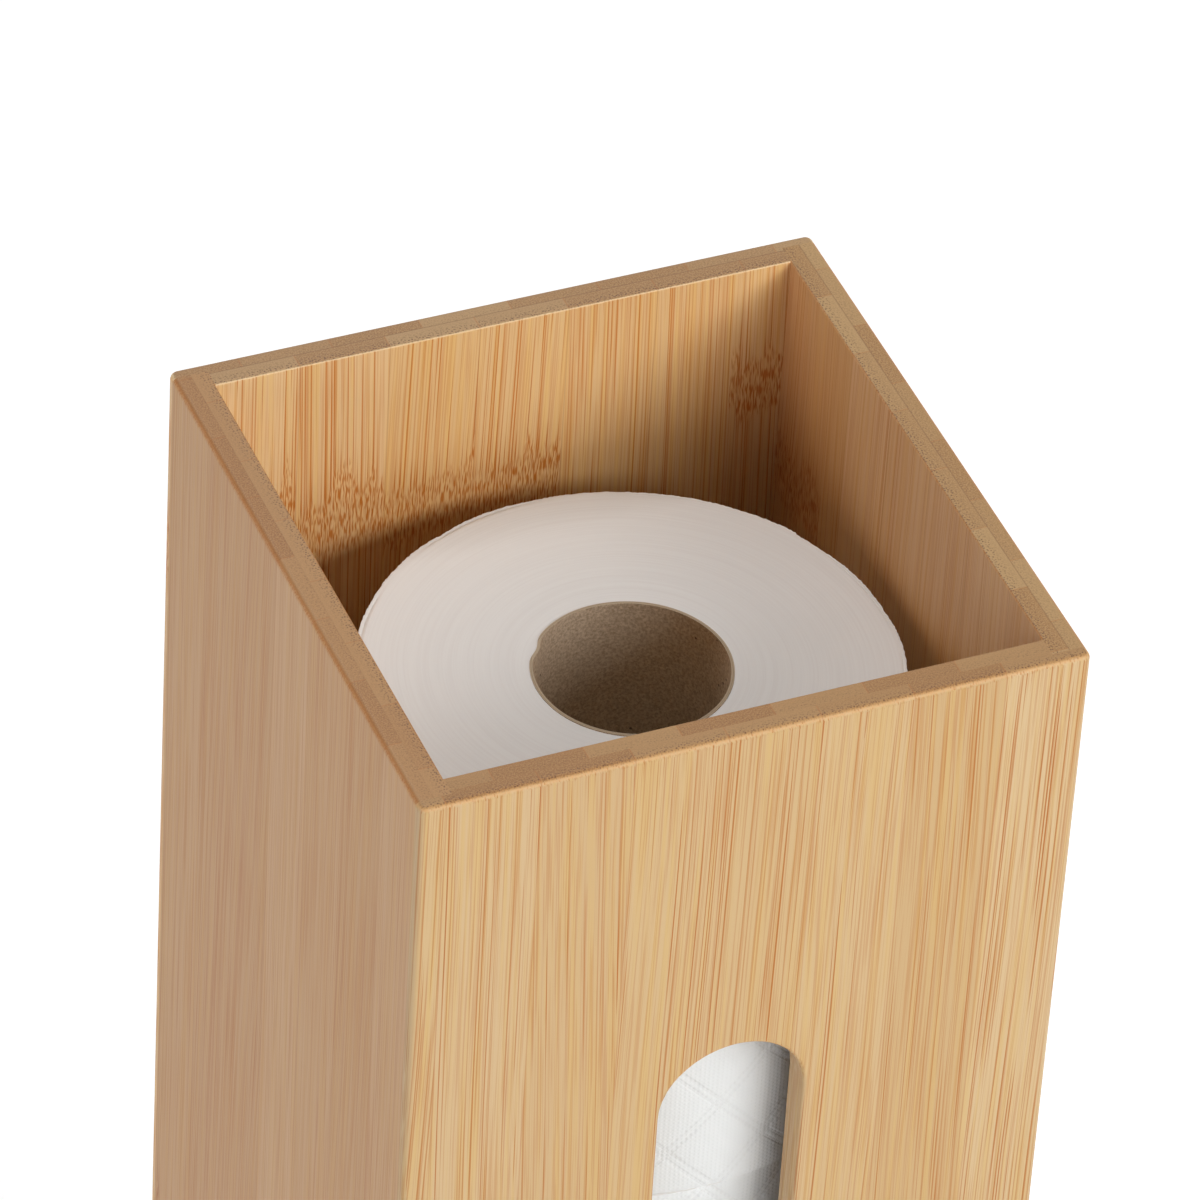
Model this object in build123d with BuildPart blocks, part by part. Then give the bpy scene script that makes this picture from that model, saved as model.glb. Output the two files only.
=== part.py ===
from build123d import *
import os

# Toilet paper stand: a tall square box of bamboo board, open at the top, with a round-ended finger slot
# in its front and a stack of rolls inside. The origin is on the floor under the middle of the box,
# +X is to the right as the front is faced, +Y goes to the back and +Z is up. All sizes are in mm.

# Rolls that the stand is made for
roll_diameter = 120.4
roll_height = 100.0
core_diameter = 44.4
core_wall = 0.7
core_fit = 0.1  # between the core and the first turn of paper, on the radius
roll_count = 4
stack_gap = 0.3  # under each roll

# Where each roll stands, from the top one down, as shares of the play to the right and to the back.
# A taller stack starts again at the first of them.
roll_leans = [(0.43, -0.50), (0.18, -0.30), (-0.15, -0.40), (0.08, 0.12)]

# Space that the box leaves round the stack
roll_play = 6.8  # from a centred roll to each wall
headroom = 42.0  # from the top roll to the rim

# Boards and the joints between them
wall_board = 8.0
corner_lip = 3.0  # what the rabbets leave of the front and back boards
base_board = 6.0
base_recess = 4.0  # from the walls' lower edge up to the base
groove_depth = 4.0
groove_fit = 0.2  # from the base's edge to the groove's bottom

# Edges sanded round after the box is glued
corner_radius = 1.8  # upright outer corners
rim_radius = 1.5  # outer edges of the rim and of the foot of the walls
inner_arris = 0.5

# Finger slot in the front
slot_width = 33.5
slot_top_margin = 88.4
slot_bottom_margin = 88.4
slot_arris = 0.9

# Rubber feet stuck under the base
foot_diameter = 12.5
foot_height = 6.0
foot_taper = 8.0  # degrees, narrower towards the floor
foot_edge_bevel = 0.8
foot_gap = 4.0  # from a foot to the walls beside it

# Sizes worked out from the ones above
inner_width = roll_diameter + 2 * roll_play
outer_width = inner_width + 2 * wall_board
inner_half = inner_width / 2
outer_half = outer_width / 2
wall_bottom = foot_height - base_recess
base_top = foot_height + base_board
roll_pitch = roll_height + stack_gap
stack_top = base_top + roll_count * roll_pitch
rim = stack_top + headroom
wall_height = rim - wall_bottom
side_length = outer_width - 2 * corner_lip
base_width = inner_width + 2 * (groove_depth - groove_fit)
slot_bottom = wall_bottom + slot_bottom_margin
slot_length = rim - slot_top_margin - slot_bottom
roll_radius = roll_diameter / 2
core_radius = core_diameter / 2

os.makedirs("parts", exist_ok=True)


def finish(piece, name):
    piece.label = name
    export_step(piece, f"parts/{name}.step")


# The glued box as one tube, with its edges sanded round. Each wall board is trimmed to it, so the
# rounded edges run on from board to board.
with BuildPart() as box:
    with BuildSketch(Plane.XY.offset(wall_bottom)):
        Rectangle(outer_width, outer_width)
    extrude(amount=wall_height)
    fillet(box.edges().filter_by(Axis.Z), corner_radius)
    fillet(box.edges().group_by(Axis.Z)[-1] + box.edges().group_by(Axis.Z)[0], rim_radius)
    with BuildSketch(Plane.XY.offset(wall_bottom)):
        Rectangle(inner_width, inner_width)
    extrude(amount=wall_height, mode=Mode.SUBTRACT)
    opening_edges = box.faces().sort_by(Axis.Z)[-1].inner_wires()[0].edges()
    opening_edges += box.faces().sort_by(Axis.Z)[0].inner_wires()[0].edges()
    fillet(opening_edges, inner_arris)


# Groove all round the inside of the box, for the edge of the base
with BuildPart() as base_groove:
    with BuildSketch(Plane.XY.offset(foot_height)):
        Rectangle(inner_width + 2 * groove_depth, inner_width + 2 * groove_depth)
    extrude(amount=base_board)


# Plan of a full-width board, with a rabbet at each end that takes a side board. The board lies on the
# side of the box that facing points to: -1 is the front and 1 is the back.
def full_width_plan(facing):
    with Locations((0, facing * (outer_half - wall_board / 2))):
        Rectangle(outer_width, wall_board)
    with Locations((-outer_half, facing * inner_half), (outer_half, facing * inner_half)):
        Rectangle(2 * wall_board, 2 * (wall_board - corner_lip), mode=Mode.SUBTRACT)


with BuildPart() as front_panel:
    with BuildSketch(Plane.XY.offset(wall_bottom)):
        full_width_plan(-1)
    extrude(amount=wall_height)
    add(base_groove.part, mode=Mode.SUBTRACT)
    add(box.part, mode=Mode.INTERSECT)
    with BuildSketch(Plane.XZ.offset(inner_half)):
        with Locations((0, slot_bottom + slot_length / 2)):
            SlotOverall(slot_length, slot_width, rotation=90)
    extrude(amount=wall_board, mode=Mode.SUBTRACT)
    slot_edges = front_panel.edges(Select.LAST).group_by(Axis.Y)
    fillet(slot_edges[0], slot_arris)
    chamfer(slot_edges[-1], inner_arris)
finish(front_panel.part, "front_panel")

with BuildPart() as back_panel:
    with BuildSketch(Plane.XY.offset(wall_bottom)):
        full_width_plan(1)
    extrude(amount=wall_height)
    add(base_groove.part, mode=Mode.SUBTRACT)
    add(box.part, mode=Mode.INTERSECT)
finish(back_panel.part, "back_panel")

for side, name in [(-1, "left_panel"), (1, "right_panel")]:
    with BuildPart() as side_panel:
        with BuildSketch(Plane.XY.offset(wall_bottom)):
            with Locations((side * (outer_half - wall_board / 2), 0)):
                Rectangle(wall_board, side_length)
        extrude(amount=wall_height)
        add(base_groove.part, mode=Mode.SUBTRACT)
        add(box.part, mode=Mode.INTERSECT)
    finish(side_panel.part, name)

with BuildPart() as base_panel:
    with BuildSketch(Plane.XY.offset(foot_height)):
        Rectangle(base_width, base_width)
    extrude(amount=base_board)
finish(base_panel.part, "base_panel")

# Feet, stuck in the corners of the recess under the base, with a bevelled lower edge
foot_place = inner_half - foot_gap - foot_diameter / 2
for depth, depth_name in [(-1, "front"), (1, "back")]:
    for side, side_name in [(-1, "left"), (1, "right")]:
        with BuildPart() as foot:
            with BuildSketch(Plane.XY.offset(foot_height)):
                with Locations((side * foot_place, depth * foot_place)):
                    Circle(foot_diameter / 2)
            extrude(amount=-foot_height, taper=foot_taper)
            chamfer(foot.edges().sort_by(Axis.Z)[0], foot_edge_bevel)
        finish(foot.part, f"foot_{depth_name}_{side_name}")

# Rolls, numbered from the top one down: a cardboard core and the paper wound on it
for number in range(1, roll_count + 1):
    lean_x, lean_y = roll_leans[(number - 1) % len(roll_leans)]
    roll_bottom = stack_top - number * roll_pitch + stack_gap
    roll_place = (lean_x * roll_play, lean_y * roll_play)

    with BuildPart() as core:
        with BuildSketch(Plane.XY.offset(roll_bottom)):
            with Locations(roll_place):
                Circle(core_radius)
                Circle(core_radius - core_wall, mode=Mode.SUBTRACT)
        extrude(amount=roll_height)
    finish(core.part, f"roll_{number}_core")

    with BuildPart() as paper:
        with BuildSketch(Plane.XY.offset(roll_bottom)):
            with Locations(roll_place):
                Circle(roll_radius)
                Circle(core_radius + core_fit, mode=Mode.SUBTRACT)
        extrude(amount=roll_height)
    finish(paper.part, f"roll_{number}_paper")
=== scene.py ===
from math import cos, exp, pi, radians, sin
import bmesh
import bpy
from mathutils import Matrix, Vector


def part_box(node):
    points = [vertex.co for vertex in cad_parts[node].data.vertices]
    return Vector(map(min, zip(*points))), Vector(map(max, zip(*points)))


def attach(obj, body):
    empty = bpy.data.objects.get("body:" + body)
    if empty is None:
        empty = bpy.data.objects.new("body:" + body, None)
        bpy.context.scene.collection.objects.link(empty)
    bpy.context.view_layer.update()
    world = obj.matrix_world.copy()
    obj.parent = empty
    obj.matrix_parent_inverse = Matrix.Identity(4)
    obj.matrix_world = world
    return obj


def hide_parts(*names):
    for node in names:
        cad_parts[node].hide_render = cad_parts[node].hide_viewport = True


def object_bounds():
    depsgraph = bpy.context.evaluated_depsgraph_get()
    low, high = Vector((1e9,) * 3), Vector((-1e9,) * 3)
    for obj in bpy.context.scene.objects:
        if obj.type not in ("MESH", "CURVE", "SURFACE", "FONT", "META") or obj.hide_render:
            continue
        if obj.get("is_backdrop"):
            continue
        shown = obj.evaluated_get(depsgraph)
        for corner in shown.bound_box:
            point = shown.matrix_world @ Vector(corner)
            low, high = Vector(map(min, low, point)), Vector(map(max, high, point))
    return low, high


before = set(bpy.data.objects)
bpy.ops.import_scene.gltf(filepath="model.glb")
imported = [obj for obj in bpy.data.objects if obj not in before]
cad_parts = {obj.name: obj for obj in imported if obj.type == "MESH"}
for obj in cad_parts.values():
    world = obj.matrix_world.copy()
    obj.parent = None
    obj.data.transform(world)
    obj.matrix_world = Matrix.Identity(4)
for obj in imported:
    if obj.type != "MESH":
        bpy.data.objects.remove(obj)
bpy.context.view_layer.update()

# Boards of the box. Each is pressed from two plies of bamboo strips, so a broad face shows long fibres,
# a sawn end shows the same fibres as dots, and glue lines part the strips. The front and back lap the
# sides in glued rabbets, the base sits in a groove, and a clear satin varnish covers them all.
ply_thickness = 0.004
strip_width = 0.0208
ply_stagger = 0.43  # how far the inner ply's strips are set over, as a share of a strip
fibre_pitch = 0.00066
bundle_least = 0.11  # radius of the smallest fibre bundle, as a share of the pitch
bundle_spread = 0.16  # what chance adds to it
bundle_most = 0.29  # radius of the largest, where bundles crowd
bundle_edge = 0.05  # half the width of a bundle's soft edge
knuckle_rise = 0.25  # how much higher a knuckle's ridge gets across its strip, for each metre
knuckle_core = 0.003  # distance from the ridge within which a knuckle is full
knuckle_reach = 0.0075
knuckle_stain_reach = 0.022
flame_height = 0.03  # of the flames that a knuckle sends up its strip
point_height = 0.006  # of the small points between them
point_depth = 0.004  # of the points below the ridge


def new_group(kind, name, inputs, outputs):
    """An empty node group: the group, its given inputs and the inputs of its output node."""
    group = bpy.data.node_groups.new(name, kind)
    for label, (socket_type, value) in inputs.items():
        socket = group.interface.new_socket(label, in_out="INPUT", socket_type=socket_type)
        if value is not None:
            socket.default_value = value
    for label, socket_type in outputs.items():
        group.interface.new_socket(label, in_out="OUTPUT", socket_type=socket_type)
    return group, group.nodes.new("NodeGroupInput").outputs, group.nodes.new("NodeGroupOutput").inputs


def feed(tree, node, inputs):
    """Sets inputs of a node, each from a plain value or from another node's socket."""
    for key, value in dict(inputs).items():
        if isinstance(value, bpy.types.NodeSocket):
            tree.links.new(value, node.inputs[key])
        else:
            node.inputs[key].default_value = value


def add_node(tree, kind, inputs=(), **settings):
    """A node with its settings made and its inputs fed."""
    node = tree.nodes.new(kind)
    for key, value in settings.items():
        setattr(node, key, value)
    feed(tree, node, inputs)
    return node


def calc(tree, operation, *values):
    """One step of arithmetic on numbers or sockets."""
    return add_node(tree, "ShaderNodeMath", enumerate(values), operation=operation).outputs[0]


def scaled(tree, value, factor, offset=0.0):
    return calc(tree, "MULTIPLY_ADD", value, factor, offset)


def fade(tree, value, start, end):
    """0 at start, 1 at end and smooth between them. Start may be the larger."""
    inputs = {"Value": value, "From Min": start, "From Max": end}
    return add_node(tree, "ShaderNodeMapRange", inputs, interpolation_type="SMOOTHSTEP").outputs[0]


def vector(tree, x, y, z=0.0):
    return add_node(tree, "ShaderNodeCombineXYZ", enumerate((x, y, z))).outputs[0]


def parts_of(tree, value):
    """The three parts of a vector."""
    return add_node(tree, "ShaderNodeSeparateXYZ", {0: value}).outputs


def noise(tree, place, detail=0.0, roughness=0.5):
    """Smooth random values round 0.5, with about one feature to a unit of place."""
    inputs = {"Vector": place, "Scale": 1.0, "Detail": detail, "Roughness": roughness}
    return add_node(tree, "ShaderNodeTexNoise", inputs).outputs[0]


def chances(tree, cells):
    """Three random numbers for each cell of a texture."""
    return add_node(tree, "ShaderNodeSeparateColor", {0: cells.outputs["Color"]}).outputs


def mix_number(tree, share, first, second):
    return add_node(tree, "ShaderNodeMix", {0: share, 2: first, 3: second}).outputs[0]


def mix_colour(tree, share, first, second, blend="MIX"):
    inputs = {0: share, 6: first, 7: second}
    return add_node(tree, "ShaderNodeMix", inputs, data_type="RGBA", blend_type=blend).outputs[2]


def new_material(name):
    """A material, its node tree and its main shader."""
    material = bpy.data.materials.new(name)
    material.use_nodes = True
    return material, material.node_tree, material.node_tree.nodes["Principled BSDF"]


def srgb(red, green, blue):
    """A colour as a screen shows it, 0 to 255, as the linear colour that a shader takes."""
    return tuple(((part / 255 + 0.055) / 1.055) ** 2.4 for part in (red, green, blue)) + (1.0,)


def pressed_strips():
    """Shader group of the pressed board as a solid. Its fibres run along it, so any cut shows them."""
    inputs = {
        "Across": ("NodeSocketFloat", 0.0),
        "Through": ("NodeSocketFloat", 0.0),
        "Along": ("NodeSocketFloat", 0.0),
        "Board": ("NodeSocketFloat", 0.0),
        "Strip Shift": ("NodeSocketFloat", 0.0),
        "Skin Inward": ("NodeSocketFloat", 0.0),
        "Crowding": ("NodeSocketFloat", 0.0),
        "Above Knuckle": ("NodeSocketFloat", 1.0),
    }
    masks = (
        "Fibre", "Dot", "Skin", "Fine", "Band", "Tone",
        "Hue", "Joint", "Seam", "Knuckle", "Near Knuckle", "Pinhole",
    )
    outputs = dict.fromkeys(masks, "NodeSocketFloat")
    group, given, out = new_group("ShaderNodeTree", "pressed_strips", inputs, outputs)
    across, through, along, board = given["Across"], given["Through"], given["Along"], given["Board"]

    ply = calc(group, "GREATER_THAN", through, ply_thickness)
    shifted = calc(group, "ADD", across, given["Strip Shift"])
    strips = calc(group, "MULTIPLY_ADD", ply, ply_stagger, scaled(group, shifted, 1 / strip_width))
    strip = calc(group, "FLOOR", strips)
    in_strip = calc(group, "FRACT", strips)
    strip_chance = add_node(group, "ShaderNodeTexWhiteNoise", {"Vector": vector(group, strip, ply, board)})
    tone, hue, density = chances(group, strip_chance)
    # a number of its own for every strip, so that no two have the same fibres
    lane = calc(group, "MULTIPLY_ADD", board, 5.1, scaled(group, strip, 7.3))
    lane = calc(group, "MULTIPLY_ADD", ply, 31.7, lane)

    # 1 where a strip had the cane's skin, whose bundles are small, dark and close, and 0 at its pith side.
    # The share just under 1 keeps a board's inner face in its inner ply.
    in_ply = calc(group, "FRACT", scaled(group, through, 0.998 / ply_thickness))
    from_skin = calc(group, "ABSOLUTE", calc(group, "SUBTRACT", in_ply, given["Skin Inward"]))
    skin = fade(group, from_skin, 1.0, 0.1)

    # a knuckle of the cane: a ridge across the strip, where the long fibres end in flames and points
    ridge = calc(group, "MULTIPLY", scaled(group, in_strip, 1.0, -0.5), -knuckle_rise * strip_width)
    above = calc(group, "ADD", ridge, given["Above Knuckle"])
    flare = noise(group, vector(group, scaled(group, across, 210.0), lane, ply))
    points = noise(group, vector(group, scaled(group, across, 1250.0), lane, ply))
    flames = calc(group, "MAXIMUM", scaled(group, flare, 2.0, -1.1), 0.0)
    tall = calc(group, "MULTIPLY_ADD", flames, flame_height, scaled(group, points, point_height))
    past_points = calc(group, "MAXIMUM", calc(group, "SUBTRACT", above, tall), 0.0)
    below = calc(group, "MULTIPLY_ADD", points, -point_depth, calc(group, "MULTIPLY", above, -1.0))
    below = calc(group, "MAXIMUM", below, 0.0)
    knuckle = fade(group, calc(group, "ADD", past_points, below), knuckle_reach, knuckle_core)
    from_stain = calc(group, "ADD", past_points, scaled(group, below, 1.6))
    near_knuckle = fade(group, from_stain, knuckle_stain_reach, knuckle_core)

    # fibre bundles, which wander a little as they run and so come and go at a face
    lean = scaled(group, hue, 0.06, -0.03)
    bend = noise(group, vector(group, lane, board, scaled(group, along, 9.0)))
    dive = noise(group, vector(group, lane, scaled(group, across, 45.0), scaled(group, along, 7.0)))
    swerve = noise(group, vector(group, scaled(group, across, 700.0), lane, scaled(group, along, 300.0)))
    side = calc(group, "MULTIPLY_ADD", along, lean, calc(group, "ADD", across, scaled(group, bend, 0.0026)))
    side = calc(group, "MULTIPLY_ADD", tone, 0.37, side)
    swerve = calc(group, "MULTIPLY", scaled(group, swerve, 1.0, -0.5), knuckle)
    side = calc(group, "MULTIPLY_ADD", swerve, 0.00025, side)
    deep = calc(group, "ADD", through, scaled(group, dive, 0.0016))
    pitches_across = scaled(group, side, 1 / fibre_pitch)
    pitches_deep = scaled(group, deep, 1 / fibre_pitch)
    bundle_inputs = {"Vector": vector(group, pitches_across, pitches_deep, lane), "Scale": 1.0}
    bundles = add_node(group, "ShaderNodeTexVoronoi", bundle_inputs, voronoi_dimensions="2D")
    bundle_chance = chances(group, bundles)
    crowd = noise(group, vector(group, scaled(group, side, 170.0), lane, scaled(group, along, 5.0)))
    size = scaled(group, bundle_chance[1], bundle_spread, bundle_least)
    size = calc(group, "MULTIPLY_ADD", scaled(group, crowd, 1.0, -0.5), 0.34, size)
    size = calc(group, "MULTIPLY_ADD", near_knuckle, 0.015, size)
    size = calc(group, "MULTIPLY_ADD", density, 0.08, size)
    size = calc(group, "MINIMUM", calc(group, "ADD", size, given["Crowding"]), bundle_most)
    edge_outside = calc(group, "ADD", size, bundle_edge)
    edge_inside = calc(group, "SUBTRACT", size, bundle_edge)
    fibre = fade(group, bundles.outputs["Distance"], edge_outside, edge_inside)
    strength = calc(group, "MAXIMUM", scaled(group, bundle_chance[0], 0.75, 0.25), near_knuckle)
    fibre = calc(group, "MULTIPLY", fibre, strength)
    ebb_place = vector(group, scaled(group, side, 1300.0), lane, scaled(group, along, 16.0))
    ebb = fade(group, noise(group, ebb_place, detail=1.0), 0.22, 0.5)
    fibre = calc(group, "MULTIPLY", fibre, calc(group, "MAXIMUM", ebb, near_knuckle))

    # fine grain between the bundles, and broader bands of colour
    fine_across = scaled(group, side, 2900.0)
    fine_deep = scaled(group, deep, 2900.0)
    fine_place = vector(group, fine_across, fine_deep, scaled(group, along, 22.0))
    fine = noise(group, fine_place, detail=1.5, roughness=0.6)
    band_across = scaled(group, side, 800.0)
    band_deep = scaled(group, deep, 800.0)
    band_place = vector(group, band_across, band_deep, scaled(group, along, 12.0))
    band = noise(group, band_place, detail=1.0)

    # short dashes that fill the knuckle, and the pores in a row along its ridge
    dash_across = scaled(group, side, 3000.0)
    dash_deep = scaled(group, through, 3000.0)
    dash_place = vector(group, dash_across, dash_deep, scaled(group, along, 270.0))
    dashes = fade(group, noise(group, dash_place, detail=1.0), 0.44, 0.62)
    fibre = mix_number(group, scaled(group, knuckle, 0.85), fibre, dashes)
    pore_place = vector(group, scaled(group, across, 330.0), scaled(group, above, 300.0), lane)
    pores = add_node(group, "ShaderNodeTexVoronoi", {"Vector": pore_place, "Scale": 1.0})
    pore_chance = chances(group, pores)
    pore = fade(group, pores.outputs["Distance"], 0.16, 0.08)
    pore = calc(group, "MULTIPLY", pore, fade(group, calc(group, "ABSOLUTE", above), 0.0022, 0.001))
    pore = calc(group, "MULTIPLY", pore, calc(group, "GREATER_THAN", pore_chance[0], 0.45))

    # the dots of a sawn end, fewer in the ply whose skin side is glued to the other ply
    dot = fade(group, bundles.outputs["Distance"], scaled(group, bundle_chance[1], 0.14, 0.3), 0.17)
    glued_skin = calc(group, "ABSOLUTE", calc(group, "SUBTRACT", ply, given["Skin Inward"]))
    dot = calc(group, "MULTIPLY", dot, scaled(group, glued_skin, -0.6, 1.0))
    dot = calc(group, "MULTIPLY", dot, scaled(group, bundle_chance[0], 0.6, 0.4))

    # glue lines between neighbouring strips and between the plies
    to_edge = calc(group, "MINIMUM", in_strip, calc(group, "SUBTRACT", 1.0, in_strip))
    from_seam = calc(group, "ABSOLUTE", calc(group, "SUBTRACT", through, ply_thickness))

    made = {
        "Fibre": fibre,
        "Dot": calc(group, "MULTIPLY", dot, skin),
        "Skin": skin,
        "Fine": fine,
        "Band": band,
        "Tone": tone,
        "Hue": hue,
        "Joint": fade(group, to_edge, 0.011, 0.004),
        "Seam": fade(group, from_seam, 0.00022, 0.00008),
        "Knuckle": knuckle,
        "Near Knuckle": near_knuckle,
        "Pinhole": pore,
    }
    for label, socket in made.items():
        group.links.new(socket, out[label])
    return group


strips_group = pressed_strips()
grain_pale = srgb(230, 196, 144)
grain_warm = srgb(218, 178, 120)
grain_pink = srgb(210, 168, 116)
grain_yellow = srgb(224, 180, 100)
fibre_orange = srgb(190, 110, 26)
knuckle_brown = srgb(172, 98, 36)
knuckle_cream = srgb(226, 184, 124)
pinhole_brown = srgb(60, 34, 20)
end_khaki = srgb(186, 156, 112)
end_brown = srgb(166, 128, 82)
end_dot = srgb(96, 66, 46)
end_fleck = srgb(204, 172, 126)
arris_orange = srgb(176, 108, 50)
# the two paler edge colours below paint a highlight along the rounded edges, over the colour of the cut
# fibres
arris_cream_highlight = srgb(214, 164, 106)
arris_pale_highlight = srgb(238, 210, 166)
seam_brown = srgb(124, 90, 60)


def bamboo(name, board, across_axis, outer_face, inward, along_axis="Z", skin_inward=0.0, crowding=0.0,
           shift=0.0, contrast=1.0, tint=(1, 1, 1, 1), end_tint=(1, 1, 1, 1), arris_colour=arris_orange,
           seam_share=0.4, knuckles=((-1.0, -1.0),)):
    """The varnished bamboo of one board, whose thickness runs inward (1 or -1) from its outer face.

    Each of knuckles is the place across from which strips have a knuckle, and its height along them.
    """
    material, tree, shader = new_material(name)
    through_axis = ({"X", "Y", "Z"} - {across_axis, along_axis}).pop()
    places = parts_of(tree, add_node(tree, "ShaderNodeTexCoord").outputs["Object"])
    across, along = places[across_axis], places[along_axis]
    height = knuckles[0][1]
    for start, next_height in knuckles[1:]:
        begun = calc(tree, "GREATER_THAN", across, start)
        height = mix_number(tree, begun, height, next_height)
    inputs = {
        "Across": across,
        "Through": calc(tree, "MULTIPLY", calc(tree, "SUBTRACT", places[through_axis], outer_face), inward),
        "Along": along,
        "Board": board,
        "Strip Shift": shift,
        "Skin Inward": skin_inward,
        "Crowding": crowding,
        "Above Knuckle": calc(tree, "SUBTRACT", along, height),
    }
    seen = add_node(tree, "ShaderNodeGroup", inputs, node_tree=strips_group).outputs

    # broad faces and round edges: cream ground with softer streaks, and orange fibres
    face = mix_colour(tree, seen["Tone"], grain_pale, grain_warm)
    face = mix_colour(tree, scaled(tree, seen["Hue"], 0.5), face, grain_pink)
    golden = calc(tree, "MULTIPLY", fade(tree, seen["Band"], 0.42, 0.7), 0.45 * contrast)
    face = mix_colour(tree, golden, face, grain_yellow)
    streak = calc(tree, "MULTIPLY", fade(tree, seen["Fine"], 0.46, 0.64), 0.36 * contrast)
    face = mix_colour(tree, streak, face, fibre_orange)
    face = mix_colour(tree, scaled(tree, seen["Knuckle"], 0.4), face, knuckle_cream)
    drawn = calc(tree, "MULTIPLY", scaled(tree, seen["Skin"], 0.4, 0.6), contrast)
    drawn = calc(tree, "MAXIMUM", drawn, scaled(tree, seen["Near Knuckle"], 0.9))
    face = mix_colour(tree, calc(tree, "MULTIPLY", seen["Fibre"], drawn), face, fibre_orange)
    browned = calc(tree, "MULTIPLY", seen["Near Knuckle"], scaled(tree, seen["Fibre"], 0.5, 0.06))
    face = mix_colour(tree, browned, face, knuckle_brown)
    face = mix_colour(tree, scaled(tree, seen["Pinhole"], 0.9), face, pinhole_brown)

    # sawn ends: khaki or brown strips, with dark dots on their skin side and a fine ripple on the other
    end = mix_colour(tree, fade(tree, seen["Hue"], 0.25, 0.75), end_khaki, end_brown)
    end = mix_colour(tree, scaled(tree, fade(tree, seen["Fine"], 0.4, 0.62), 0.55), end, end_fleck)
    end = mix_colour(tree, scaled(tree, seen["Dot"], 0.9), end, end_dot)
    end = mix_colour(tree, scaled(tree, seen["Seam"], seam_share), end, seam_brown)
    end = mix_colour(tree, 1.0, end, end_tint, blend="MULTIPLY")
    # The face tint is partly the board's own tone and partly painted light and shade: the left face is
    # painted darker and greyer as if in shade, and the back board is painted lighter, as lit inside the
    # box.
    face = mix_colour(tree, 1.0, face, tint, blend="MULTIPLY")
    normal = parts_of(tree, add_node(tree, "ShaderNodeNewGeometry").outputs["Normal"])
    upright = calc(tree, "ABSOLUTE", normal[along_axis])
    colour = mix_colour(tree, fade(tree, upright, 0.6, 0.85), face, end)
    # Rounded edges take the board's arris colour: orange cut fibres on the side boards, and on the front
    # and back boards a paler colour that also paints a highlight along the edge.
    arris = calc(tree, "MULTIPLY", fade(tree, upright, 0.25, 0.6), fade(tree, upright, 0.97, 0.75))
    arris = calc(tree, "MULTIPLY", arris, scaled(tree, seen["Fine"], 1.6, -0.25))
    colour = mix_colour(tree, arris, colour, arris_colour)
    colour = mix_colour(tree, scaled(tree, seen["Joint"], 0.3), colour, knuckle_brown)
    sunk = calc(tree, "MAXIMUM", seen["Fibre"], scaled(tree, seen["Pinhole"], 3.0))
    relief = calc(tree, "SUBTRACT", seen["Fine"], sunk)
    bump = add_node(tree, "ShaderNodeBump", {"Height": relief, "Strength": 0.25, "Distance": 0.00012})
    varnish = {
        "Base Color": colour,
        "Roughness": scaled(tree, seen["Fine"], 0.25, 0.36),
        "Specular IOR Level": 0.35,
        "Normal": bump.outputs[0],
    }
    feed(tree, shader, varnish)
    return material


front_low, front_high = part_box("front_panel")
back_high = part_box("back_panel")[1]
base_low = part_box("base_panel")[0]
rim_height = front_high.z
half_width = front_high.x
no_knuckle = -0.2  # a height that no board reaches
# Each board's face tint below is partly its own tone and partly painted light and shade: darker and greyer
# on the left board, which stands in shade, and lighter on the back board, whose inside is lit within the
# box.
board_looks = {
    "front_panel": bamboo(
        "bamboo_front", 1, "X", front_low.y, 1, shift=0.0277, contrast=0.95,
        tint=(0.825, 0.87, 0.95, 1), end_tint=(0.78, 0.64, 0.51, 1),
        arris_colour=arris_cream_highlight, seam_share=0.0, knuckles=((-1, 0.142), (0.014, no_knuckle)),
    ),
    "back_panel": bamboo(
        "bamboo_back", 2, "X", back_high.y, -1, skin_inward=1.0, crowding=0.03, shift=-0.0029,
        tint=(1.10, 1.13, 1.21, 1), end_tint=(0.85, 0.77, 0.72, 1), arris_colour=arris_pale_highlight,
        knuckles=((-1, rim_height - 0.048), (0.0146, no_knuckle), (0.0545, rim_height - 0.033)),
    ),
    "left_panel": bamboo(
        "bamboo_left", 3, "Y", -half_width, 1, skin_inward=1.0, contrast=0.8, shift=0.0332,
        tint=(0.82, 0.735, 0.705, 1), end_tint=(0.81, 0.64, 0.51, 1), seam_share=0.1,
        knuckles=((-1, no_knuckle), (0.03, 0.2)),
    ),
    "right_panel": bamboo(
        "bamboo_right", 4, "Y", half_width, -1, skin_inward=1.0, contrast=0.7, tint=(1.06, 1.0, 1.06, 1),
        end_tint=(0.88, 0.79, 0.68, 1), knuckles=((-1, no_knuckle), (0.0425, rim_height - 0.056)),
    ),
    "base_panel": bamboo("bamboo_base", 5, "Y", base_low.z, 1, along_axis="X", contrast=0.6),
}
for node_name, look in board_looks.items():
    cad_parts[node_name].material_slots[0].material = look

# Feet. Four moulded rubber bumpers, stuck in the corners of the recess under the base. Dark grey, with
# the dull, faintly pitted skin that the mould gives them, and dust on the lower edge.


def magnified(tree, place, factor):
    return add_node(tree, "ShaderNodeVectorMath", {0: place, "Scale": factor}, operation="SCALE").outputs[0]


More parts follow.
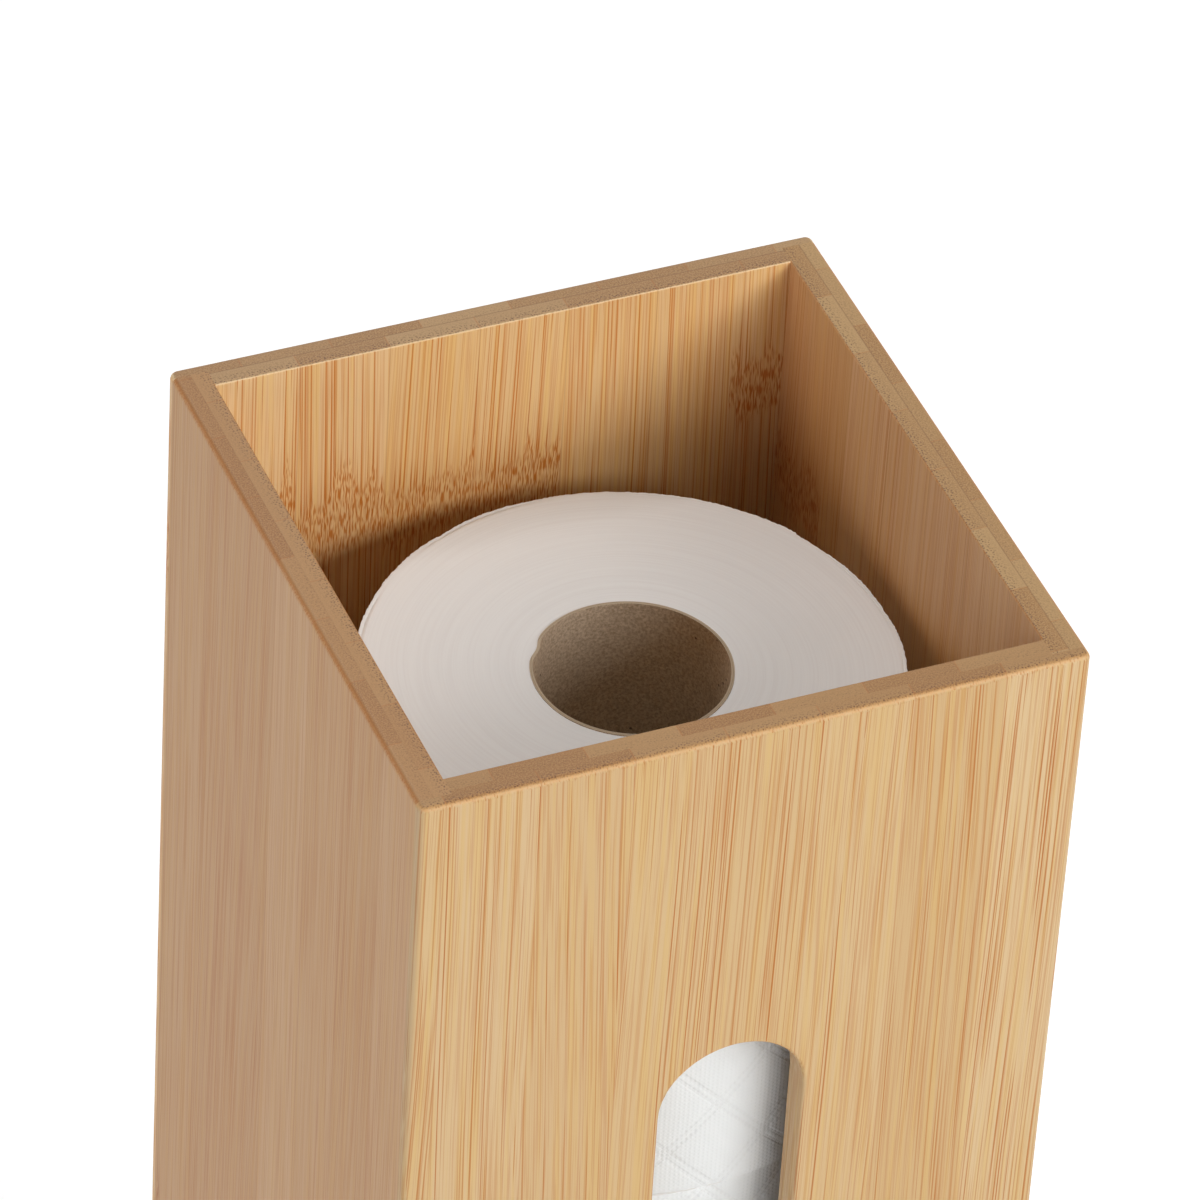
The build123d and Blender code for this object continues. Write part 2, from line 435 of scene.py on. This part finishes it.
rubber_grey = srgb(52, 50, 48)
dust_grey = srgb(150, 143, 132)
dust_height = 0.0016
rubber, tree, shader = new_material("bumper_rubber")
place = add_node(tree, "ShaderNodeTexCoord").outputs["Object"]
pits = noise(tree, magnified(tree, place, 2600.0), detail=3.0)
smears = noise(tree, magnified(tree, place, 260.0), detail=2.0)
low_down = fade(tree, parts_of(tree, place)["Z"], dust_height, 0.0002)
dust = calc(tree, "MULTIPLY", low_down, fade(tree, smears, 0.35, 0.6))
pitted = add_node(tree, "ShaderNodeBump", {"Height": pits, "Strength": 0.4, "Distance": 0.0001})
moulded = {
    "Base Color": mix_colour(tree, scaled(tree, dust, 0.5), rubber_grey, dust_grey),
    "Roughness": scaled(tree, smears, 0.3, 0.5),
    "Normal": pitted.outputs[0],
}
feed(tree, shader, moulded)
for node_name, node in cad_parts.items():
    if node_name.startswith("foot"):
        node.material_slots[0].material = rubber

# Cores. Two plies of grey-brown board, wound on a mandrel in a spiral and glued, so a fine butt seam
# climbs each tube. The cut rims are paler and fuzzy, and the top tube has a small crease in its rim.
core_rings = 44
core_columns = 160
core_thickness = 0.0007
core_clearance = 0.00015  # on the radius, for a tube that is a little out of round
end_clearance = 0.00003
core_low, core_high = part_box("roll_1_core")
core_outer = (core_high.x - core_low.x) / 2 - core_clearance
seam_lead = 0.118  # height of one turn of the seam
crease_width = 0.13  # radians
crease_length = 0.022
crease_depths = {1: 0.0009, 2: 0.0003, 3: 0.0002, 4: 0.0005}
crease_angles = {1: radians(144), 2: radians(20), 3: radians(250), 4: radians(75)}


def crease_at(number, angle, from_top):
    """How far the crease pushes the tube in, at an angle and at a depth below its rim."""
    apart = abs((angle - crease_angles[number] + pi) % (2 * pi) - pi)
    return crease_depths[number] * exp(-((apart / crease_width) ** 2) - (from_top / crease_length) ** 2)


def wound_core(number):
    """One tube: its outer and inner skins, each a little out of round, joined at both rims."""
    low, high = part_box(f"roll_{number}_core")
    middle = (low + high) / 2
    mesh = bmesh.new()
    roll_place = mesh.verts.layers.float_vector.new("roll_place")
    bottom = low.z + end_clearance
    length = high.z - low.z - 2 * end_clearance
    heights = [bottom + length * step / core_rings for step in range(core_rings + 1)]
    rings = []
    for radius, climb in ((core_outer, heights), (core_outer - core_thickness, reversed(heights))):
        for z in climb:
            ring = []
            for column in range(core_columns):
                angle = 2 * pi * column / core_columns
                wave = 0.00005 * sin(3 * angle + number) + 0.00002 * sin(7 * angle + 2 * number)
                reach = radius + wave - crease_at(number, angle, high.z - z)
                x, y = reach * cos(angle), reach * sin(angle)
                corner = mesh.verts.new((middle.x + x, middle.y + y, z))
                corner[roll_place] = Vector((x, y, z - low.z))
                ring.append(corner)
            rings.append(ring)
    for first, second in zip(rings, rings[1:] + rings[:1]):
        for column in range(core_columns):
            beside = (column + 1) % core_columns
            mesh.faces.new((first[column], first[beside], second[beside], second[column])).smooth = True
    data = bpy.data.meshes.new(f"core_{number}")
    mesh.to_mesh(data)
    mesh.free()
    data.set_sharp_from_angle(angle=radians(40))
    core = bpy.data.objects.new(f"core_{number}", data)
    bpy.context.scene.collection.objects.link(core)
    return core


def distance(tree, x, y):
    """Distance of a flat place from zero."""
    return calc(tree, "SQRT", calc(tree, "ADD", calc(tree, "MULTIPLY", x, x), calc(tree, "MULTIPLY", y, y)))


def turn_share(tree, x, y):
    """The turn of a flat place round zero, from 0 to 1."""
    return scaled(tree, calc(tree, "ARCTAN2", y, x), 1 / (2 * pi), 0.5)


def off_middle(tree, value):
    """How far a value is from the middle between two whole numbers, 0 to 0.5."""
    return calc(tree, "ABSOLUTE", scaled(tree, calc(tree, "FRACT", value), 1.0, -0.5))


pulp_dark = srgb(182, 161, 137)
pulp_light = srgb(234, 218, 196)
cloud_brown = srgb(186, 160, 128)
speck_brown = srgb(58, 46, 36)
butt_brown = srgb(112, 90, 66)
rim_pale = srgb(184, 166, 142)
rim_brown = srgb(128, 106, 82)
cardboard, tree, shader = new_material("spiral_cardboard")
place = add_node(tree, "ShaderNodeAttribute", attribute_name="roll_place").outputs["Vector"]
x, y, z = parts_of(tree, place)
pulp = noise(tree, magnified(tree, place, 1500.0), detail=3.0, roughness=0.7)
cloud = noise(tree, magnified(tree, place, 140.0), detail=2.0)
specks = add_node(tree, "ShaderNodeTexVoronoi", {"Vector": magnified(tree, place, 420.0), "Scale": 1.0})
speck_chance = chances(tree, specks)
speck = fade(tree, specks.outputs["Distance"], 0.17, 0.1)
speck = calc(tree, "MULTIPLY", speck, calc(tree, "GREATER_THAN", speck_chance[0], 0.93))
board_colour = mix_colour(tree, fade(tree, pulp, 0.3, 0.7), pulp_dark, pulp_light)
board_colour = mix_colour(tree, scaled(tree, cloud, 0.35), board_colour, cloud_brown)
board_colour = mix_colour(tree, scaled(tree, speck, 0.8), board_colour, speck_brown)
climb = calc(tree, "SUBTRACT", scaled(tree, z, 1 / seam_lead), turn_share(tree, x, y))
seam = fade(tree, off_middle(tree, climb), 0.006, 0.002)
board_colour = mix_colour(tree, scaled(tree, seam, 0.5), board_colour, butt_brown)
normal = parts_of(tree, add_node(tree, "ShaderNodeNewGeometry").outputs["Normal"])
is_rim = fade(tree, calc(tree, "ABSOLUTE", normal["Z"]), 0.6, 0.9)
between_plies = core_outer - core_thickness / 2
from_ply_line = calc(tree, "ABSOLUTE", scaled(tree, distance(tree, x, y), 1.0, -between_plies))
ply_line = fade(tree, from_ply_line, 0.00012, 0.00004)
rim_colour = mix_colour(tree, scaled(tree, ply_line, 0.5), rim_pale, rim_brown)
fuzz_height = calc(tree, "SUBTRACT", pulp, seam)
fuzz = add_node(tree, "ShaderNodeBump", {"Height": fuzz_height, "Strength": 0.5, "Distance": 0.0001})
fuzzy = {
    "Base Color": mix_colour(tree, is_rim, board_colour, rim_colour),
    "Roughness": 0.85,
    "Specular IOR Level": 0.2,
    "Normal": fuzz.outputs[0],
}
feed(tree, shader, fuzzy)

for number in range(1, 5):
    core = wound_core(number)
    core.data.materials.append(cardboard)
    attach(core, f"roll_{number}")
    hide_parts(f"roll_{number}_core")

# Paper. Two-ply tissue wound on each core, with its free end laid down along the outside. The outer turns
# are quilted in soft diamonds with a fine waffle between them, and the saw leaves the ends a little uneven.
winding_columns = 628
winding_rows = {"foot": 8, "side": 88, "top": 30, "bore": 3}
diamonds_around = 16
diamonds_high = 4
sheet_thickness = 0.00035
quilt_depth = 0.0003
end_unevenness = 0.0004
paper_clearance = 0.00004  # on the radius
weld_distance = 0.00002


def wound_paper():
    """Geometry tree of one roll: a grid wrapped into foot, side, top and bore, then pressed and worn."""
    inputs = {
        "Geometry": ("NodeSocketGeometry", None),
        "Outer Radius": ("NodeSocketFloat", 0.06),
        "Inner Radius": ("NodeSocketFloat", 0.022),
        "Height": ("NodeSocketFloat", 0.1),
        "Sheet Thickness": ("NodeSocketFloat", sheet_thickness),
        "Sheet End": ("NodeSocketFloat", 0.0),
        "Diamonds Around": ("NodeSocketFloat", float(diamonds_around)),
        "Diamonds High": ("NodeSocketFloat", float(diamonds_high)),
        "Quilt Depth": ("NodeSocketFloat", quilt_depth),
        "End Unevenness": ("NodeSocketFloat", end_unevenness),
        "Crease Angle": ("NodeSocketFloat", 0.0),
        "Crease Depth": ("NodeSocketFloat", 0.0),
        "Seed": ("NodeSocketFloat", 0.0),
        "Roll Place": ("NodeSocketVector", None),
        "Material": ("NodeSocketMaterial", None),
    }
    outputs = {"Geometry": "NodeSocketGeometry"}
    group, given, out = new_group("GeometryNodeTree", "wound_paper", inputs, outputs)
    all_rows = sum(winding_rows.values())
    grid_inputs = {
        "Size X": 1.0,
        "Size Y": 1.0,
        "Vertices X": winding_columns + 1,
        "Vertices Y": all_rows + 1,
    }
    sheet = add_node(group, "GeometryNodeMeshGrid", grid_inputs)
    flat = parts_of(group, add_node(group, "GeometryNodeInputPosition").outputs[0])
    turn = scaled(group, flat["X"], 1.0, 0.5)
    row = scaled(group, flat["Y"], all_rows, all_rows / 2)
    travel = {}
    start = 0
    for part, count in winding_rows.items():
        span = {"Value": row, "From Min": float(start), "From Max": float(start + count)}
        travel[part] = add_node(group, "ShaderNodeMapRange", span).outputs[0]
        start += count
    crowded = calc(group, "MULTIPLY", travel["top"], scaled(group, travel["top"], 0.65, 0.35))
    outness = calc(group, "SUBTRACT", travel["foot"], crowded)
    upness = calc(group, "SUBTRACT", travel["side"], travel["bore"])
    angle = scaled(group, turn, 2 * pi)
    ring_x, ring_y = calc(group, "COSINE", angle), calc(group, "SINE", angle)
    depth = calc(group, "SUBTRACT", given["Outer Radius"], given["Inner Radius"])
    radius = calc(group, "MULTIPLY_ADD", depth, outness, given["Inner Radius"])
    height = calc(group, "MULTIPLY", upness, given["Height"])
    from_middle = calc(group, "ABSOLUTE", scaled(group, upness, 2.0, -1.0))
    column = calc(group, "FLOOR", scaled(group, turn, winding_columns, 0.5))
    chance_place = vector(group, column, given["Seed"])
    chance = add_node(group, "ShaderNodeTexWhiteNoise", {"Vector": chance_place}).outputs["Value"]

    # outside: diamonds pressed in along their edges, a step at the free end, and stray waves
    around = calc(group, "MULTIPLY", turn, given["Diamonds Around"])
    up = calc(group, "MULTIPLY", travel["side"], given["Diamonds High"])
    rising = off_middle(group, calc(group, "ADD", around, up))
    falling = off_middle(group, calc(group, "SUBTRACT", around, up))
    to_line = calc(group, "SUBTRACT", 0.5, calc(group, "MAXIMUM", rising, falling))
    pillow = calc(group, "POWER", scaled(group, to_line, 2.0), 0.45)
    pressed = calc(group, "MULTIPLY", calc(group, "SUBTRACT", 1.0, pillow), given["Quilt Depth"])
    since_end = calc(group, "FRACT", calc(group, "SUBTRACT", turn, given["Sheet End"]))
    pulled_in = calc(group, "MULTIPLY_ADD", since_end, given["Sheet Thickness"], pressed)
    wave_height = calc(group, "MULTIPLY_ADD", travel["side"], 3.0, given["Seed"])
    wave_place = vector(group, scaled(group, ring_x, 5.0), scaled(group, ring_y, 5.0), wave_height)
    pulled_in = calc(group, "MULTIPLY_ADD", noise(group, wave_place, detail=2.0), 0.0006, pulled_in)
    teeth = scaled(group, chance, 0.00016, 0.0001)
    ragged = calc(group, "MULTIPLY", fade(group, from_middle, 0.96, 1.0), teeth)
    on_outside = fade(group, outness, 0.93, 1.0)
    pulled_in = calc(group, "MULTIPLY", calc(group, "ADD", pulled_in, ragged), on_outside)

    # bore: the last turns follow the crease in the core's rim
    apart = calc(group, "WRAP", calc(group, "SUBTRACT", angle, given["Crease Angle"]), pi, -pi)
    apart = scaled(group, apart, 1 / crease_width)
    crease = calc(group, "EXPONENT", calc(group, "MULTIPLY", calc(group, "MULTIPLY", apart, apart), -1.0))
    crease = calc(group, "MULTIPLY", crease, fade(group, outness, 0.12, 0.0))
    crease = calc(group, "MULTIPLY", crease, fade(group, upness, 0.5, 1.0))
    pulled_in = calc(group, "MULTIPLY_ADD", crease, given["Crease Depth"], pulled_in)
    radius = calc(group, "SUBTRACT", radius, pulled_in)

    # ends: groups of turns stand higher or lower, and here and there the last few come apart
    turn_height = calc(group, "MULTIPLY_ADD", outness, 26.0, given["Seed"])
    turn_place = vector(group, scaled(group, ring_x, 0.9), scaled(group, ring_y, 0.9), turn_height)
    reach = scaled(group, outness, 1.6, 1.0)
    swell_x = calc(group, "MULTIPLY", ring_x, reach)
    swell_y = calc(group, "MULTIPLY", ring_y, reach)
    swell = noise(group, vector(group, swell_x, swell_y, given["Seed"]))
    sunk = calc(group, "MULTIPLY_ADD", noise(group, turn_place, detail=1.5), 0.15, swell)
    sunk = calc(group, "MULTIPLY", sunk, given["End Unevenness"])
    loose_seed = scaled(group, given["Seed"], 3.0)
    loose_place = vector(group, scaled(group, ring_x, 2.2), scaled(group, ring_y, 2.2), loose_seed)
    loose = fade(group, noise(group, loose_place), 0.35, 0.65)
    gap = calc(group, "MULTIPLY", fade(group, outness, 0.955, 0.972), fade(group, outness, 0.995, 0.98))
    sunk = calc(group, "MULTIPLY_ADD", calc(group, "MULTIPLY", gap, loose), 0.0004, sunk)
    worn = calc(group, "MULTIPLY", fade(group, outness, 0.985, 1.0), scaled(group, chance, 0.0001, 0.00022))
    sunk = calc(group, "MULTIPLY", calc(group, "ADD", sunk, worn), fade(group, from_middle, 0.985, 1.0))
    sunk = calc(group, "MULTIPLY", sunk, calc(group, "SIGN", scaled(group, upness, 2.0, -1.0)))
    height = calc(group, "SUBTRACT", height, sunk)

    x = calc(group, "MULTIPLY", radius, ring_x)
    y = calc(group, "MULTIPLY", radius, ring_y)
    inputs = {"Geometry": sheet.outputs["Mesh"], "Position": vector(group, x, y, height)}
    wrapped = add_node(group, "GeometryNodeSetPosition", inputs)
    inputs = {"Geometry": wrapped.outputs[0], "Distance": weld_distance}
    closed = add_node(group, "GeometryNodeMergeByDistance", inputs)
    position = add_node(group, "GeometryNodeInputPosition").outputs[0]
    inputs = {"Geometry": closed.outputs[0], "Name": "roll_place", "Value": position}
    settings = {"data_type": "FLOAT_VECTOR", "domain": "POINT"}
    named = add_node(group, "GeometryNodeStoreNamedAttribute", inputs, **settings)
    inputs = {"Geometry": named.outputs[0], "Translation": given["Roll Place"]}
    placed = add_node(group, "GeometryNodeTransform", inputs)
    whole = add_node(group, "GeometryNodeRealizeInstances", {0: placed.outputs[0]})
    inputs = {"Geometry": whole.outputs[0], "Material": given["Material"]}
    dressed = add_node(group, "GeometryNodeSetMaterial", inputs)
    group.links.new(dressed.outputs[0], out["Geometry"])
    return group


def make_from_nodes(name, group, values):
    """An object with the plain mesh that a geometry tree makes from the given values."""
    maker = bpy.data.objects.new(name, bpy.data.meshes.new(f"{name}_blank"))
    bpy.context.scene.collection.objects.link(maker)
    modifier = maker.modifiers.new("nodes", "NODES")
    modifier.node_group = group
    sockets = [item for item in group.interface.items_tree if item.in_out == "INPUT"]
    identifiers = {socket.name: socket.identifier for socket in sockets}
    for label, value in values.items():
        modifier[identifiers[label]] = value
    depsgraph = bpy.context.evaluated_depsgraph_get()
    shaped = bpy.data.meshes.new_from_object(maker.evaluated_get(depsgraph))
    maker.modifiers.remove(modifier)
    maker.data = shaped
    maker.data.name = name
    return maker


end_white = srgb(237, 236, 234)
end_shade = srgb(233, 231, 229)
outside_white = srgb(231, 234, 234)
# painted shade for the grooves of the quilting's pressed lines
groove_shade_grey = srgb(200, 200, 200)
waffle_columns = 360.0
waffle_pitch = 0.00105
beads_per_diamond = 12
tissue, tree, shader = new_material("quilted_tissue")
place = add_node(tree, "ShaderNodeAttribute", attribute_name="roll_place").outputs["Vector"]
x, y, z = parts_of(tree, place)
turn = turn_share(tree, x, y)
paper_low, paper_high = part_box("roll_1_paper")
roll_height = paper_high.z - paper_low.z
waffle_x = scaled(tree, calc(tree, "FRACT", scaled(tree, turn, waffle_columns)), 1.0, -0.5)
waffle_y = scaled(tree, calc(tree, "FRACT", scaled(tree, z, 1 / waffle_pitch)), 1.0, -0.5)
waffle = fade(tree, distance(tree, waffle_x, waffle_y), 0.42, 0.12)
around, up = scaled(tree, turn, diamonds_around), scaled(tree, z, diamonds_high / roll_height)
rising, falling = calc(tree, "ADD", around, up), calc(tree, "SUBTRACT", around, up)
beaded = []
for line, along_line in ((rising, falling), (falling, rising)):
    off_line = calc(tree, "SUBTRACT", 0.5, off_middle(tree, line))
    bead_angle = scaled(tree, along_line, 2 * pi * beads_per_diamond)
    beads = scaled(tree, calc(tree, "COSINE", bead_angle), 0.3, 0.7)
    thread = fade(tree, calc(tree, "ABSOLUTE", scaled(tree, off_line, 1.0, -0.05)), 0.035, 0.012)
    beaded.append(calc(tree, "MULTIPLY", thread, beads))
stitches = calc(tree, "MAXIMUM", *beaded)
normal = parts_of(tree, add_node(tree, "ShaderNodeNewGeometry").outputs["Normal"])
is_outside = fade(tree, calc(tree, "ABSOLUTE", normal["Z"]), 0.8, 0.5)
radius = distance(tree, x, y)
turn_place = vector(tree, scaled(tree, x, 25.0), scaled(tree, y, 25.0), scaled(tree, radius, 1900.0))
turn_lines = noise(tree, turn_place, detail=2.0, roughness=0.6)
pulp = noise(tree, magnified(tree, place, 900.0), detail=3.0)
embossing = calc(tree, "SUBTRACT", scaled(tree, waffle, 0.5), stitches)
relief = mix_number(tree, is_outside, scaled(tree, turn_lines, 0.12), embossing)
relief = calc(tree, "MULTIPLY_ADD", pulp, 0.25, relief)
paper_colour = mix_colour(tree, fade(tree, turn_lines, 0.3, 0.75), end_white, end_shade)
paper_colour = mix_colour(tree, is_outside, paper_colour, outside_white)
# The pressed lines of the quilting are greyed a little on the outside: painted shade in their grooves.
groove_shade_share = calc(tree, "MULTIPLY", stitches, scaled(tree, is_outside, 0.12))
bump = add_node(tree, "ShaderNodeBump", {"Height": relief, "Strength": 0.35, "Distance": 0.0003})
soft = {
    "Base Color": mix_colour(tree, groove_shade_share, paper_colour, groove_shade_grey),
    "Roughness": 0.95,
    "Specular IOR Level": 0.1,
    "Sheen Weight": 0.1,
    "Normal": bump.outputs[0],
}
feed(tree, shader, soft)

paper_group = wound_paper()
# where each free end lies, as a share of a turn from the right
sheet_ends = {1: 0.085, 2: 0.61, 3: 0.37, 4: 0.93}
for number in range(1, 5):
    low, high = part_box(f"roll_{number}_paper")
    values = {
        "Outer Radius": (high.x - low.x) / 2 - paper_clearance,
        "Inner Radius": core_outer,
        "Height": high.z - low.z,
        "Sheet Thickness": sheet_thickness,
        "Sheet End": sheet_ends[number],
        "Diamonds Around": float(diamonds_around),
        "Diamonds High": float(diamonds_high),
        "Quilt Depth": quilt_depth,
        "End Unevenness": end_unevenness,
        "Crease Angle": crease_angles[number],
        "Crease Depth": crease_depths[number],
        "Seed": 3.7 * number,
        "Roll Place": ((low.x + high.x) / 2, (low.y + high.y) / 2, low.z),
        "Material": tissue,
    }
    paper = make_from_nodes(f"paper_{number}", paper_group, values)
    paper.data.shade_smooth()
    paper.data.set_sharp_from_angle(angle=radians(45))
    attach(paper, f"roll_{number}")
    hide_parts(f"roll_{number}_paper")

# Floor, lights and camera. The floor is pale, keeps the stand's shadow and is clear from below. Five soft
# panels stand round it, with the key low on the front right, and the long lens looks down on the rim.
floor_size = 12.0
bpy.ops.mesh.primitive_plane_add(size=floor_size)
floor = bpy.context.object
floor.name = "floor"
floor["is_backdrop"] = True


def looked_at(tree):
    """1 where a ray comes from the camera, straight or by way of gloss or glass."""
    rays = add_node(tree, "ShaderNodeLightPath").outputs
    bent = calc(tree, "MAXIMUM", rays["Is Glossy Ray"], rays["Is Transmission Ray"])
    return calc(tree, "MAXIMUM", rays["Is Camera Ray"], bent)


def mix_shader(tree, share, first, second):
    return add_node(tree, "ShaderNodeMixShader", {0: share, 1: first, 2: second}).outputs[0]


white_starts = 0.5  # distance from the stand's middle at which the floor begins to turn white
white_whole = 1.3
floor_look, tree, plain = new_material("pale_floor")
feed(tree, plain, {"Base Color": (0.85, 0.85, 0.85, 1), "Roughness": 0.9})
lift = add_node(tree, "ShaderNodeEmission", {"Color": (1, 1, 1, 1), "Strength": 0.45})
lifted = add_node(tree, "ShaderNodeAddShader", {0: plain.outputs[0], 1: lift.outputs[0]})
paper_white = add_node(tree, "ShaderNodeEmission", {"Color": (1, 1, 1, 1), "Strength": 1.0})
place = add_node(tree, "ShaderNodeTexCoord").outputs["Object"]
away = add_node(tree, "ShaderNodeVectorMath", {0: place}, operation="LENGTH").outputs["Value"]
whiteness = fade(tree, away, white_starts, white_whole)
sweep = mix_shader(tree, whiteness, lifted.outputs[0], paper_white.outputs[0])
from_above = mix_shader(tree, looked_at(tree), plain.outputs[0], sweep)
is_below = add_node(tree, "ShaderNodeNewGeometry").outputs["Backfacing"]
clear = add_node(tree, "ShaderNodeBsdfTransparent")
one_sided = mix_shader(tree, is_below, from_above, clear.outputs[0])
feed(tree, tree.nodes["Material Output"], {0: one_sided})
floor.data.materials.append(floor_look)

ambient = 0.02  # share of the white background that lights the stand
world = bpy.data.worlds.new("studio")
bpy.context.scene.world = world
world.use_nodes = True
tree = world.node_tree
brightness = scaled(tree, looked_at(tree), 1 - ambient, ambient)
feed(tree, tree.nodes["Background"], {"Color": (1, 1, 1, 1), "Strength": brightness})

aim = Vector((-0.0157, -0.0255, rim_height))
light_distance = 2.2


def bearing(azimuth, elevation):
    """A direction from the rim. Azimuth 0 is to the front and a positive one is to the right."""
    turn, rise = radians(azimuth), radians(elevation)
    return Vector((sin(turn) * cos(rise), -cos(turn) * cos(rise), sin(rise)))


def panel_light(name, azimuth, elevation, width, height, watts, colour=(1, 1, 1)):
    """A soft panel aimed at the rim."""
    data = bpy.data.lights.new(name, "AREA")
    data.shape = "RECTANGLE"
    data.size = width
    data.size_y = height
    data.energy = watts
    data.color = colour
    light = bpy.data.objects.new(name, data)
    bpy.context.scene.collection.objects.link(light)
    light.location = aim + light_distance * bearing(azimuth, elevation)
    light.rotation_euler = (aim - light.location).to_track_quat("-Z", "Y").to_euler()
    light.visible_camera = False


panel_light("key", 30, 24, 1.6, 0.8, 38.6)
panel_light("front_fill", 0, 12, 1.0, 1.0, 6.8)
panel_light("left_fill", -75, 2, 1.4, 1.4, 21.6, colour=(0.97, 0.98, 1.12))
panel_light("overhead", 180, 70, 0.9, 0.9, 18.2)
panel_light("back_light", 180, 45, 1.4, 1.4, 10.0)

camera_azimuth = -24.48  # to the left of the front
camera_elevation = 40.30
camera_roll = 3.66
camera_distance = 1.8249  # from the point that it is aimed at
camera_focal_mm = 262.5
towards_camera = bearing(camera_azimuth, camera_elevation)
camera = bpy.data.objects.new("camera", bpy.data.cameras.new("camera"))
bpy.context.scene.collection.objects.link(camera)
camera.data.lens = camera_focal_mm
camera.data.sensor_width = 36.0
camera.data.clip_end = 50.0
camera.location = aim + camera_distance * towards_camera
camera.rotation_mode = "QUATERNION"
level = (-towards_camera).to_track_quat("-Z", "Y")
camera.rotation_quaternion = level @ Matrix.Rotation(radians(camera_roll), 4, "Z").to_quaternion()
bpy.context.scene.camera = camera
bpy.context.scene.view_settings.view_transform = "Standard"

low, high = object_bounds()
